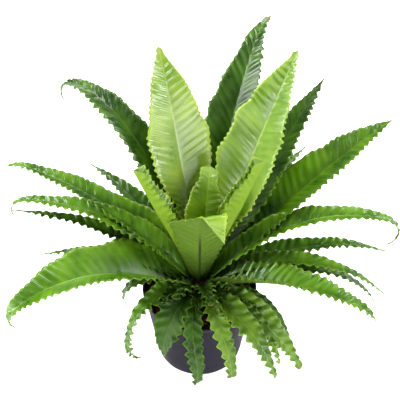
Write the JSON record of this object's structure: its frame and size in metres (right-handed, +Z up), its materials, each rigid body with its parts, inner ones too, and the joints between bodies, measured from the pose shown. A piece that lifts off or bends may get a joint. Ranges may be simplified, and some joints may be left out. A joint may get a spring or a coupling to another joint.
{
  "type": "potted fern",
  "caption": "Crisped bird's nest fern with a rosette of long ruffled strap fronds, growing from a scaly crown in a round tapered plastic nursery pot filled with peat.",
  "frame": {"origin": "centre of the pot's flat underside, on the surface it stands on", "axes": "+Z up along the pot's axis; -Y towards the side the plant is usually seen from; +X to the right seen from there"},
  "size_m": [0.4745, 0.3021, 0.3942],
  "materials": {
    "pot": "matt, faintly ribbed injection-moulded plastic, dark grey with a violet cast",
    "soil": "damp reddish-brown peat and coir with pale fibres",
    "crown": "dull dark brown scales and old stalk stubs",
    "leaf_young": "glossy bright yellow-green, pleated, with a ruffled edge",
    "leaf_middle": "glossy mid green, pleated, with a ruffled edge",
    "leaf_old": "glossy deep green, pleated, with a ruffled edge"
  },
  "bodies": {
    "root": {"pot": "pot", "soil": "soil", "crown": "crown", "frond_heart_1": "leaf_young", "frond_heart_2": "leaf_young", "frond_heart_3": "leaf_young", "frond_heart_4": "leaf_young", "frond_heart_5": "leaf_young", "frond_heart_6": "leaf_young", "frond_tall_1": "leaf_old", "frond_tall_2": "leaf_old", "frond_tall_3": "leaf_old", "frond_spread_1": "leaf_middle", "frond_spread_2": "leaf_old", "frond_spread_3": "leaf_middle", "frond_spread_4": "leaf_middle", "frond_spread_5": "leaf_middle", "frond_spread_6": "leaf_old", "frond_spread_7": "leaf_middle", "frond_spread_8": "leaf_middle", "frond_spread_9": "leaf_middle", "frond_spread_10": "leaf_old", "frond_spread_11": "leaf_old", "frond_spread_12": "leaf_middle", "frond_spread_13": "leaf_old", "frond_spread_14": "leaf_old", "frond_hanging_1": "leaf_middle", "frond_hanging_2": "leaf_old", "frond_hanging_3": "leaf_old", "frond_hanging_4": "leaf_middle", "frond_hanging_5": "leaf_middle", "frond_hanging_6": "leaf_old", "frond_hanging_7": "leaf_middle", "frond_hanging_8": "leaf_middle", "frond_back_1": "leaf_old", "frond_back_2": "leaf_middle", "frond_back_3": "leaf_old", "frond_back_4": "leaf_middle", "frond_back_5": "leaf_middle", "frond_back_6": "leaf_old", "frond_back_7": "leaf_old", "frond_back_8": "leaf_middle"}
  },
  "joints": []
}
